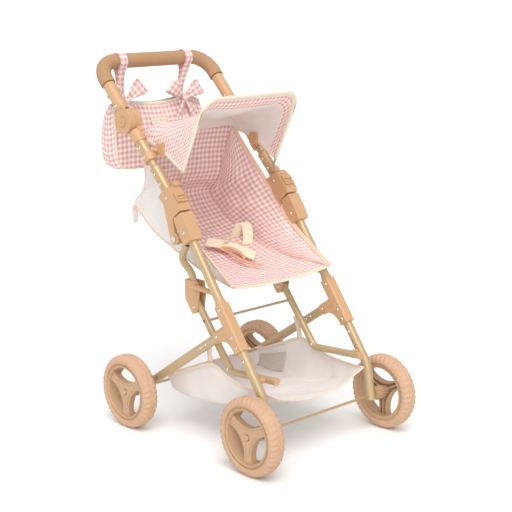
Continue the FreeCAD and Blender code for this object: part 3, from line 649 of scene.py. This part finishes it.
def carry(piece, body):
    """Fixes a piece to one body."""
    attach(piece, body)


def held_share(value):
    """A value held between 0 and 1."""
    return min(1.0, max(0.0, value))


def fading(along, across):
    """A share that falls to 0 at a cloth's edges, the faster the larger the two rates."""
    def share(v, u):
        return min(1.0, along * v, along * (1 - v)) * min(1.0, across * u, across * (1 - u))
    return share


def blend_seat(piece):
    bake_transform(piece)


def make_seat():
    pan, wall = seat_grids()
    pan = to_frame(pan)
    slack = fading(6, 5)
    pan = crumple(pan, 3.0 * MM, 30 * MM, 3.1, slack)
    seat = cloth_piece("seat_cloth", pan, ["lining", "gingham"], 1)
    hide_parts("seat_sling", "seat_front")
    blend_seat(seat)
    hem = tape("seat_front_hem", pan[::-1], "cream", 9 * MM)
    carry(hem, "base")
    for side, way in SIDES:
        mirrored = wall * np.array([way, 1, 1])
        grid = crumple(to_frame(mirrored), 3.4 * MM, 28 * MM, 8.7 + way, slack)
        keys = ["lining", "gingham"] if way > 0 else ["gingham", "lining"]
        piece = cloth_piece(f"seat_wall_{side}", grid, keys, 1)
        blend_seat(piece)
        rail = tape(f"seat_rail_tape_{side}", grid, "peach", 6 * MM)
        blend_seat(rail)
        seam = tape(f"seat_seam_tape_{side}", grid[::-1], "peach", 2.5 * MM)
        blend_seat(seam)


# ---- canopy ----

BOW_PIVOT = (61.0, 386.0)
BOW_X = 95.0
NARROW_REACH = 78          # this near the bow's pivot, the front tape passes the clip blocks
HOOD_LOW = [(52, 404), (74, 417), (99, 431), (124, 440), (150, 444)]
HOOD_TOP = [(-2, 513), (18, 499), (69, 486), (112, 476), (140, 466), (151, 449)]
# The hood is cut as a trapezium: 0.41 m along the bow, 0.20 m along the seat back, and from
# 0.17 m deep in the middle to 0.11 m at the sides, in metres.
HOOD_ROWS, HOOD_HALF = 60, 36
HOOD_CORNER = (26, 16)     # radius of its corners at both ends, and what the middle adds
HOOD_SAG = 9
FACING = 0.16              # share of the hood's depth that has a gingham facing inside


def hood_section(low, top, corner, sag):
    """Half a cross-section of the hood, from the lower edge up and over to the middle."""
    height = float(np.linalg.norm(top - low))
    corner = min(corner, height)
    side = height - corner
    arc = math.pi / 2 * corner
    flat = BOW_X - corner
    points = []
    for s in np.linspace(0, side + arc + flat, HOOD_HALF):
        if s <= side:
            x, h = BOW_X, s
        elif s <= side + arc:
            turn = (s - side) / corner if corner else 0
            x = BOW_X - corner * (1 - math.cos(turn))
            h = side + corner * math.sin(turn)
        else:
            x, h = flat - (s - side - arc), height
        share = h / height if height else 0
        y, z = low + (top - low) * share
        z -= sag * (1 - (x / BOW_X) ** 2) * share
        points.append((x, y, z))
    return np.array(points)


def hood_grid():
    low = smooth_path(HOOD_LOW, HOOD_ROWS)
    top = smooth_path(HOOD_TOP, HOOD_ROWS)
    rows = []
    for r in range(HOOD_ROWS):
        swell = math.sin(math.pi * r / (HOOD_ROWS - 1))
        half = hood_section(low[r], top[r], HOOD_CORNER[0] + HOOD_CORNER[1] * swell,
                            HOOD_SAG * swell)
        other = half[::-1] * np.array([-1, 1, 1])
        rows.append(np.vstack([half, other[1:]]))
    return to_frame(np.array(rows))


def make_canopy():
    grid = crumple(hood_grid(), 2.2 * MM, 42 * MM, 5.5, fading(5, 8))
    rows, columns, _ = grid.shape
    indices = [0 if r < FACING * rows else 1 for r in range(rows - 1)
               for _ in range(columns - 1)]
    hood = cloth_piece("canopy_cloth", grid, ["gingham", "lining", "gingham", "gingham"], 2,
                       indices)
    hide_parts("canopy_front", "canopy_rear")
    blend_hood(hood)
    reach = np.linalg.norm((grid[0] - np.array(at(0, *BOW_PIVOT)))[:, 1:], axis=1)
    width = np.where(reach < NARROW_REACH * MM, 4.2 * MM, 7 * MM)
    front = tape("canopy_front_tape", grid, "cream", width, 1.3 * MM)
    carry(front, "canopy_bow")
    turned = grid.transpose(1, 0, 2)
    for name, edge in (("left", turned), ("right", turned[::-1])):
        low = tape(f"canopy_low_tape_{name}", edge, "cream", 4 * MM)
        blend_hood(low)


def blend_hood(piece):
    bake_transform(piece)


# ---- basket ----

BASKET_HALF = 96.0
BASKET_FLOOR = [(-136, 82), (-100, 76), (-59, 69), (-14, 63), (48, 58), (84, 57), (96, 63),
                (101, 84)]
BASKET_RIM = [(-136, 104), (-95, 104), (-45, 110), (-6, 124), (45, 105), (84, 89), (101, 86)]
BASKET_FLAT = 0.7          # share of the half width that lies flat


def make_basket():
    """A shallow hammock of mesh: its bound sides hang from tape loops and its front sags."""
    floor = smooth_path([(0, y, z) for y, z in BASKET_FLOOR], 64)
    rim = smooth_path([(BASKET_HALF, y, z) for y, z in BASKET_RIM], 90)
    rows = []
    for _, y, z in floor:
        top = np.interp(y, rim[:, 1], rim[:, 2])
        open_end = held_share((-70 - y) / 66)
        section = []
        for u in np.linspace(-1, 1, 57):
            side = max(0.0, (abs(u) - BASKET_FLAT) / (1 - BASKET_FLAT))
            rise = side ** 1.6 * (1 - open_end) + abs(u) ** 2.4 * open_end
            half = (BASKET_HALF - 8 * (1 - side) ** 2) * (1 - open_end)
            across = math.copysign(half * min(1.0, abs(u) / BASKET_FLAT), u)
            across += BASKET_HALF * u * open_end
            section.append((across, y + 3 * open_end * (1 - abs(u)), z + (top - z) * rise))
        rows.append(section)
    grid = crumple(to_frame(np.array(rows)), 2.6 * MM, 40 * MM, 1.3)
    basket = cloth_piece("basket_mesh", grid, ["mesh"], 0, None, 0.8 * MM)
    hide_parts("basket")
    carry(basket, "base")
    turned = grid.transpose(1, 0, 2)
    for place, edge in (("left", turned[::-1]), ("right", turned), ("front", grid),
                        ("rear", grid[::-1])):
        trim = tape(f"basket_tape_{place}", edge, "basket_tape", 3.5 * MM)
        carry(trim, "base")
    make_vent(grid)
    for side, way in SIDES:
        loop = smooth_path([(way * (BASKET_HALF - 3), -2, 123), (way * (BASKET_HALF - 2), 0, 134),
                            (way * (BASKET_HALF - 4), 3, 150), (way * (BASKET_HALF - 6), 4, 158)],
                           24)
        strap = ribbon(f"basket_loop_{side}", to_frame(loop), 10 * MM, (0, 1, 0), "basket_tape")
        carry(strap, "base")


def make_vent(grid):
    """A patch of open net sewn inside the basket's left side, towards the rear."""
    y = grid[:, -1, 1] / MM + MIDDLE_Y
    rows = [r for r in range(len(y)) if 30 <= y[r] <= 92]
    patch = grid[rows[0]:rows[-1] + 1, -10:-2]
    normals = grid_normals(patch)
    patch = patch - normals * 1.3 * MM * np.sign(normals[:, :, :1])
    # The patch is real open net, and its darker yarn colour is painted shade for what is seen
    # through it
    vent = cloth_piece("basket_vent", patch, ["net"], 0, None, 0.5 * MM)
    carry(vent, "base")


# ---- bag ----

BAG_HALF = 91.0
BAG_LOW = 389.0
BAG_TOP = 492
BAG_ROWS, BAG_COLUMNS = 46, 61
BAG_CORNER = 26.0
STRAP_X = 66.0
STRAP_LOOP = 12.6          # radius of its run round the grip
KNOTS = {"left": (50.0, 493.0), "right": (-67.0, 497.0)}


def bag_half_width(z):
    """Half width of the bag's panels at a height: round lower corners, and a drawn-in top."""
    low = z - BAG_LOW
    if low < BAG_CORNER:
        return BAG_HALF - BAG_CORNER + math.sqrt(max(0, BAG_CORNER ** 2 - (BAG_CORNER - low) ** 2))
    return BAG_HALF - 7 * max(0, (z - 450) / 46) ** 2


def bag_half_depth(z):
    return 18.5 * (1 - 0.72 * max(0, (z - 440) / 56) ** 1.6)


def bag_top(x):
    """Height of the top edge, which hangs between the straps."""
    a = abs(x) / STRAP_X
    return 489 + 9 * a ** 2 if a < 1 else 498 - 12 * ((a - 1) / 0.38)


def bag_panel(way):
    rows = []
    for v in np.linspace(0, 1, BAG_ROWS):
        row = []
        for u in np.linspace(-1, 1, BAG_COLUMNS):
            z = BAG_LOW + v * (BAG_TOP - BAG_LOW)
            x = bag_half_width(z) * u
            z += v ** 2 * (bag_top(x) - BAG_TOP)
            bulge = 4.5 * (1 - u * u) * math.sin(math.pi * min(1, v * 1.1))
            gather = 1.6 * v ** 3 * math.sin(x * 0.9) * math.exp(-((abs(x) - STRAP_X) / 22) ** 2)
            y = HANDLE_BAR[0] + way * (bag_half_depth(z) + bulge + gather)
            row.append((x, y, z))
        rows.append(row)
    return to_frame(np.array(rows))


def bag_gusset(front, back):
    """The strip round the sides and bottom, from one panel's edge to the other's."""
    def outline(panel):
        return np.vstack([panel[::-1, 0], panel[0, 1:-1], panel[:, -1]])
    a, b = outline(front), outline(back)
    middle = (a + b) / 2
    centre = np.array([0, middle[:, 1].mean(), 0.445])
    rows = []
    for t in np.linspace(0, 1, 13):
        row = a * (1 - t) + b * t
        out = row - centre
        out[:, 1] = 0
        out /= np.linalg.norm(out, axis=1, keepdims=True)
        rows.append(row + out * 3.0 * MM * math.sin(math.pi * t))
    return np.array(rows)


def make_bag():
    front, back = bag_panel(-1), bag_panel(1)
    gusset = bag_gusset(front, back)
    pieces = {}
    for name, grid, keys in (("bag_front", front, ["gingham", "lining"]),
                             ("bag_back", back, ["lining", "gingham"]),
                             ("bag_gusset", gusset, ["lining", "gingham"])):
        grid = crumple(grid, 1.6 * MM, 30 * MM, 2.2)
        piece = cloth_piece(name, grid, keys, 1)
        carry(piece, "bag")
        pieces[name] = (piece, grid)
    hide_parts("bag")
    gusset = pieces["bag_gusset"][1]
    for side, around in (("front", gusset), ("back", gusset[::-1])):
        piece, grid = pieces["bag_" + side]
        top = tape(f"bag_top_tape_{side}", grid[::-1], "cream", 4 * MM)
        piping = tape(f"bag_piping_{side}", around, "cream", 2.2 * MM)
        for trim in (top, piping):
            carry(trim, "bag")


def make_label():
    """A blank woven label on the front panel."""
    grid = bag_panel(-1)
    points = np.array([[surface_point(grid, x, z) for x in np.linspace(-22, 12, 9)]
                       for z in np.linspace(455.0, 466.0, 5)])
    label = cloth_piece("bag_label", points, ["cream"], 0, None, 0.8 * MM)
    carry(label, "bag")


def surface_point(grid, x, z):
    """The grid point nearest to a place across and up, in millimetres, set just outside it."""
    reach = (grid[:, :, 0] - x * MM) ** 2 + (grid[:, :, 2] - z * MM) ** 2
    row, column = np.unravel_index(reach.argmin(), reach.shape)
    return (x * MM, grid[row, column, 1] - 2.4 * MM, z * MM)


def make_tab():
    tab = ribbon("seat_tab", to_frame(smooth_path([(-80, 188, 337), (-80, 190, 330),
                 (-80, 189, 320), (-80, 188, 309)], 12)), 12 * MM, (1, 0.2, 0), "lining")
    carry(tab, "upper_frame")


def make_straps():
    """Straps looped over the grip, knotted into bows on the bag's front."""
    middle, bar = HANDLE_BAR
    for side, way in SIDES:
        path = [(middle - 3.5, 494), (middle - 2.5, 520), (middle - 5, 541)]
        for angle in range(205, -26, -20):
            turn = math.radians(angle)
            path.append((middle + STRAP_LOOP * math.cos(turn), bar + STRAP_LOOP * math.sin(turn)))
        path += [(middle + 5, 541), (middle + 2.5, 520), (middle + 3.5, 494)]
        lean = KNOTS[side][0] - STRAP_X * way
        line = smooth_path([(STRAP_X * way + lean * held_share((545 - z) / 50), y, z)
                            for y, z in path], 70)
        widths = np.array([10 + 4.5 * held_share((z - 515) / 30) for z in line[:, 2]])
        strap = ribbon(f"bag_strap_{side}", to_frame(line), widths * MM, (1, 0, 0), "gingham",
                       1.1 * MM)
        carry(strap, "bag")
        if way > 0:
            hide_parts("bag_straps")
        make_bow(side, way)


def make_bow(side, way):
    """Two flat loops, two tails and a knot."""
    knot = np.array([KNOTS[side][0], HANDLE_BAR[0] - 17, KNOTS[side][1]])
    spread = {"loop_outer": (way * 0.87, 0.5, 36, 25), "loop_inner": (-way * 0.8, 0.6, 38, 25),
              "tail_outer": (way * 0.6, -0.8, 34, 17), "tail_inner": (-way * 0.45, -0.89, 36, 16)}
    for name, (dx, dz, reach, width) in spread.items():
        out = np.array([dx, 0, dz])
        cross = np.array([-dz, 0.15, dx])
        forward = np.array([0, -1.0, 0])
        if name.startswith("loop"):
            steps = [(0, 0, 5), (0.3, 3.5, 9), (0.7, 6, width * 0.85), (0.97, 4.5, width),
                     (1.0, 1.5, width), (0.95, -1.0, width), (0.6, -1.5, width * 0.8),
                     (0, -1.0, 5)]
        else:
            steps = [(0, 0, 4), (0.35, 2.5, 8), (0.7, 2.0, width * 0.9), (1.0, 0.5, width)]
        line = smooth_path([np.append(knot + out * reach * a + forward * b, w)
                            for a, b, w in steps], 40)
        piece = ribbon(f"bow_{name}_{side}", to_frame(line[:, :3]), line[:, 3] * MM, cross,
                       "gingham", 0.9 * MM)
        carry(piece, "bag")
    make_knot(side, knot)


def make_knot(side, centre):
    rows, columns = 15, 24
    points = []
    for v in np.linspace(0.02, math.pi - 0.02, rows):
        for u in np.linspace(0, 2 * math.pi, columns, endpoint=False):
            r = 1 + 0.06 * math.cos(5 * u)
            points.append((centre[0] + 5 * r * math.sin(v) * math.cos(u),
                           centre[1] - 2 + 3.6 * r * math.cos(v),
                           centre[2] + 5.5 * r * math.sin(v) * math.sin(u)))
    grid = to_frame(np.array(points))
    vertices = np.vstack([grid, grid[:columns].mean(0), grid[-columns:].mean(0)])
    faces = grid_faces(rows, columns, True)
    top, last = rows * columns, (rows - 1) * columns
    for c in range(columns):
        d = (c + 1) % columns
        faces += [(top, d, c), (top + 1, last + c, last + d)]
    uvs = [(c * 1.4 * MM, r * 1.2 * MM) for r in range(rows) for c in range(columns)]
    knot = outside(new_object(f"bow_knot_{side}", vertices, faces, ["gingham"], None,
                              uvs + [(0, 0), (0, 0)]))
    carry(knot, "bag")


# ---- harness ----

def make_harness():
    """Lap straps, and thin strips in painted shade, thrown loosely on the pan."""
    along, thin = (0.95, 0.2, 0.15), 5
    runs = {
        "lap_strap_left": (17, (0.85, -0.5, 0.1), "webbing", [
            (52, 104, 276), (54, 98, 290), (58, 92, 302), (64, 88, 297), (64, 84, 282),
            (58, 80, 268)]),
        "lap_strap_right": (21, (0.68, 0.5, 0.46), "webbing", [
            (-12, 98, 281), (6, 84, 277), (20, 68, 271), (28, 48, 265), (32, 34, 261)]),
        "buckle_strap": (16, (0.6, -0.6, 0.5), "webbing", [
            (34, 108, 278), (22, 92, 281), (8, 78, 279)]),
        # These two thin strips carry painted shade: the apricot of the lap webbing's shaded fold
        "painted_shade_strip_end": (thin, along, "ribbon", [
            (-2, 84, 273), (4, 62, 266), (4, 38, 260), (8, 18, 256), (16, 2, 254)]),
        "painted_shade_strip_loop": (thin, along, "ribbon", [
            (-2, 84, 273), (10, 66, 272), (16, 50, 266), (10, 34, 260)]),
    }
    for name, (width, side, key, points) in runs.items():
        piece = ribbon(name, to_frame(smooth_path(points, 40)), width * MM, side, key, 1.3 * MM)
        blend_seat(piece)
        if name == "lap_strap_right":
            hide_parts("harness")


# ---- tyres ----

TYRE_STEPS = 10            # rings in one block's segment
TYRE_BORE = 45.1 * MM
TYRE_SHOULDER = 8.5 * MM


def make_tyre(end, side):
    """A round-shouldered foam ring with moulded tread blocks, one block's segment repeated."""
    low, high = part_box(f"tyre_{end}_{side}")
    centre = (low + high) / 2
    outer = (high.z - low.z) / 2
    half = (high.x - low.x) / 2
    count = sizes().tread_count
    depth = sizes().tread_depth
    profile = [(-half, TYRE_BORE), (-half, outer - TYRE_SHOULDER)]
    for k in range(1, 9):
        turn = math.pi / 2 * k / 9
        profile.append((-half + TYRE_SHOULDER * (1 - math.cos(turn)),
                        outer - TYRE_SHOULDER + TYRE_SHOULDER * math.sin(turn)))
    flat = [(x, outer) for x in np.linspace(-half + TYRE_SHOULDER, half - TYRE_SHOULDER, 9)]
    profile += flat + [(-x, r) for x, r in reversed(profile)]
    vertices = []
    for t in range(TYRE_STEPS + 1):
        angle = 2 * math.pi * t / (count * TYRE_STEPS)
        for x, r in profile:
            cut = r - groove(x, r, angle, half, outer, count, depth)
            vertices.append((x, cut * math.cos(angle), cut * math.sin(angle)))
    n = len(profile)
    faces = [(t * n + k, t * n + (k + 1) % n, (t + 1) * n + (k + 1) % n, (t + 1) * n + k)
             for t in range(TYRE_STEPS) for k in range(n)]
    piece = new_object(f"tyre_foam_{end}_{side}", vertices, faces, ["tyre"])
    run_group(piece, GROUPS["round"], {"Count": count, "Centre": tuple(centre),
                                       "Foam": MATERIALS["tyre"]})
    outside(piece)
    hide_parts(f"tyre_{end}_{side}")
    carry(piece, f"wheel_{end}_{side}")


def make_tyres():
    for end in ENDS:
        for side, _ in SIDES:
            make_tyre(end, side)


def groove(x, r, angle, half, outer, count, depth):
    """Depth of the tread pattern at a point of the tyre."""
    reach = abs(x) / half
    if r < outer - 9 * MM or (reach > 0.97 and r < outer - 8 * MM):
        return 0.0
    phase = angle * count / (2 * math.pi) + (0.5 if x > 0 else 0.0)
    wave = (phase - 0.5 * reach) % 1.0
    cut = min(1.0, max(0.0, 1 - abs(wave - 0.5) / 0.26) * 1.7)
    side = held_share((reach - 0.30) / 0.12)
    middle = max(0.0, 1 - abs(x - 0.16 * half * math.sin(2 * math.pi * phase)) / (0.13 * half))
    return depth * max(cut * side, 0.6 * middle)


# ---- CAD finishes and stage ----

def finish_frame():
    for part in frame["record"]["subparts"]:
        mesh = NODES[part["node"]].data
        mesh.materials.clear()
        slot = part["material_slot"]
        mesh.materials.append(MATERIALS[SLOT_FINISH.get(slot, slot)])
    NODES["axles"].data.materials[0] = MATERIALS["wire"]
    for node in ("handle_tube", "side_tube_left", "side_tube_right", "upper_side_tube_left",
                 "upper_side_tube_right"):
        NODES[node].data.materials[0] = MATERIALS["upper"]


CAMERA_AT = (-1.2375, -1.3544, 0.6735)
CAMERA_LOOK = (0.667, 0.713, -0.2167)
CAMERA_ROLL = math.radians(-0.59)
CAMERA_LENS = 86.3
WORLD_STRENGTH = 0.56
FLOOR_REACH = 90.0
# Each sun: the direction it comes from, its strength, and its width in degrees
SUNS = {"key": ((-0.3, -0.4, 1.0), 1.75, 40), "side": ((-0.7, -0.75, 0.4), 0.95, 40),
        "back": ((0.6, 0.8, 0.9), 0.5, 70)}


def make_stage():
    scene = bpy.context.scene
    data = bpy.data.cameras.new("camera")
    data.lens = CAMERA_LENS
    camera = bpy.data.objects.new("camera", data)
    scene.collection.objects.link(camera)
    camera.location = CAMERA_AT
    look = Vector(CAMERA_LOOK).to_track_quat("-Z", "Y").to_matrix().to_4x4()
    camera.matrix_world = (Matrix.Translation(CAMERA_AT) @ look
                           @ Matrix.Rotation(CAMERA_ROLL, 4, "Z"))
    scene.camera = camera
    scene.view_settings.view_transform = "Standard"
    floor = new_floor()
    world = bpy.data.worlds.new("studio")
    scene.world = world
    world.use_nodes = True
    backdrop = world.node_tree.nodes["Background"]
    backdrop.inputs["Color"].default_value = (1, 1, 1, 1)
    backdrop.inputs["Strength"].default_value = WORLD_STRENGTH
    for name, (direction, strength, spread) in SUNS.items():
        light = bpy.data.lights.new(name, "SUN")
        light.energy = strength
        light.angle = math.radians(spread)
        lamp = bpy.data.objects.new(name, light)
        scene.collection.objects.link(lamp)
        lamp.rotation_euler = Vector(direction).to_track_quat("Z", "Y").to_euler()


def new_floor():
    mesh = bpy.data.meshes.new("studio_floor")
    mesh.from_pydata([(x * FLOOR_REACH, y * FLOOR_REACH, 0)
                      for x, y in ((-1, -1), (1, -1), (1, 1), (-1, 1))], [], [(0, 1, 2, 3)])
    floor = bpy.data.objects.new("studio_floor", mesh)
    bpy.context.scene.collection.objects.link(floor)
    mesh.materials.append(hard_finish("matt_painted_board_pale", colours().floor, 30.0, 0.004,
                                      0.9, 0.02))
    return floor


# ---- add-on ----

class StrollerStep:
    """What all the steps share: each runs its makers in turn."""
    makers = ()

    def execute(self, context):
        for maker in self.makers:
            maker()
        return {"FINISHED"}


class StrollerMaterials(StrollerStep, bpy.types.Operator):
    """Makes the finishes and gives them to the frame's parts"""
    bl_idname = "stroller.materials"
    bl_label = "Finishes"
    makers = (finish_materials, finish_frame)


class StrollerTyres(StrollerStep, bpy.types.Operator):
    """Makes the four foam tyres with their tread"""
    bl_idname = "stroller.tyres"
    bl_label = "Tyres"
    makers = (make_tyres,)


class StrollerSeat(StrollerStep, bpy.types.Operator):
    """Makes the seat cloth, its side walls and bindings"""
    bl_idname = "stroller.seat"
    bl_label = "Seat"
    makers = (make_seat, make_tab)


class StrollerCanopy(StrollerStep, bpy.types.Operator):
    """Makes the canopy cloth and its bindings"""
    bl_idname = "stroller.canopy"
    bl_label = "Canopy"
    makers = (make_canopy,)


class StrollerBasket(StrollerStep, bpy.types.Operator):
    """Makes the mesh basket and its bindings"""
    bl_idname = "stroller.basket"
    bl_label = "Basket"
    makers = (make_basket,)


class StrollerBag(StrollerStep, bpy.types.Operator):
    """Makes the handle bag, its straps and bows"""
    bl_idname = "stroller.bag"
    bl_label = "Bag"
    makers = (make_bag, make_label, make_straps)


class StrollerHarness(StrollerStep, bpy.types.Operator):
    """Makes the lap straps"""
    bl_idname = "stroller.harness"
    bl_label = "Harness"
    makers = (make_harness,)


class StrollerStage(StrollerStep, bpy.types.Operator):
    """Makes the floor, the lights and the camera"""
    bl_idname = "stroller.stage"
    bl_label = "Stage"
    makers = (make_stage,)


STEPS = (StrollerMaterials, StrollerTyres, StrollerSeat, StrollerCanopy, StrollerBasket,
         StrollerBag, StrollerHarness, StrollerStage)


class StrollerPanel(bpy.types.Panel):
    """Lists the steps that make the stroller"""
    bl_idname = "VIEW3D_PT_stroller"
    bl_label = "Doll stroller"
    bl_space_type = "VIEW_3D"
    bl_region_type = "UI"
    bl_category = "Stroller"

    def draw(self, context):
        for step in STEPS:
            self.layout.operator(step.bl_idname)
        for group in (context.scene.stroller_sizes, context.scene.stroller_colours):
            for key in group.bl_rna.properties.keys():
                if key not in ("rna_type", "name"):
                    self.layout.prop(group, key)


CLASSES = (StrollerSizes, StrollerColours) + STEPS + (StrollerPanel,)


def register():
    for cls in CLASSES:
        bpy.utils.register_class(cls)
    bpy.types.Scene.stroller_sizes = bpy.props.PointerProperty(type=StrollerSizes)
    bpy.types.Scene.stroller_colours = bpy.props.PointerProperty(type=StrollerColours)


def unregister():
    del bpy.types.Scene.stroller_colours
    del bpy.types.Scene.stroller_sizes
    for cls in reversed(CLASSES):
        bpy.utils.unregister_class(cls)


def main():
    register()
    for step in STEPS:
        group, name = step.bl_idname.split(".")
        getattr(getattr(bpy.ops, group), name)()


if __name__ == "__main__":
    main()
